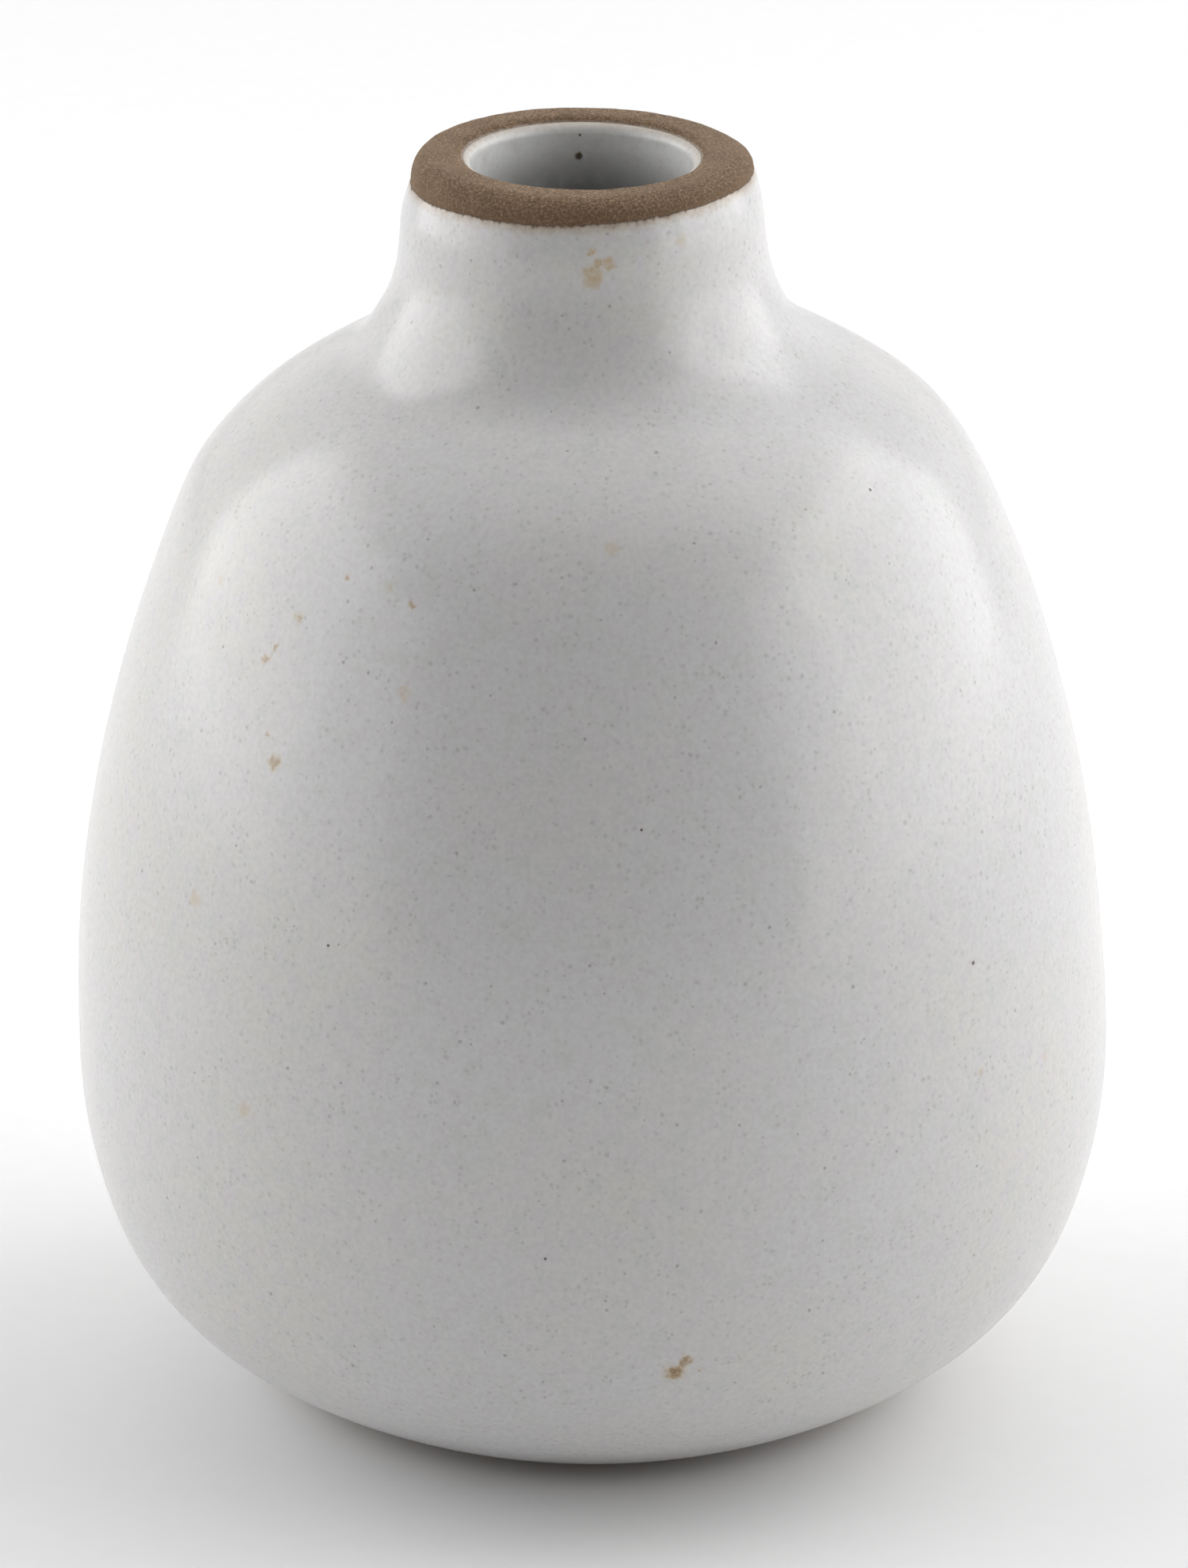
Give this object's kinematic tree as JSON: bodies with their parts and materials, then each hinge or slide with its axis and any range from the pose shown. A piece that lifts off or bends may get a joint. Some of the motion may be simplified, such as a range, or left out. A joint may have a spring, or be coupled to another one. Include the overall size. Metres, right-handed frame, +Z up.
{
  "type": "bud vase",
  "caption": "Round stoneware bud vase with a short neck, a bare clay lip and foot, and a satin glaze outside and inside.",
  "frame": {"origin": "centre of the foot, on the plane that the vase stands on", "axes": "+Z up along the axis of the vase; -Y is the side nearest the viewer in the reference view, +X to the viewer's right"},
  "size_m": [0.095, 0.095, 0.1165],
  "materials": {
    "bare_stoneware": "unglazed, fine sandy grain",
    "outer_glaze": "satin, finely speckled",
    "inner_glaze": "satin, finely speckled"
  },
  "bodies": {
    "root": {"clay_body": "bare_stoneware", "outer_glaze": "outer_glaze", "inner_glaze": "inner_glaze"}
  },
  "joints": []
}
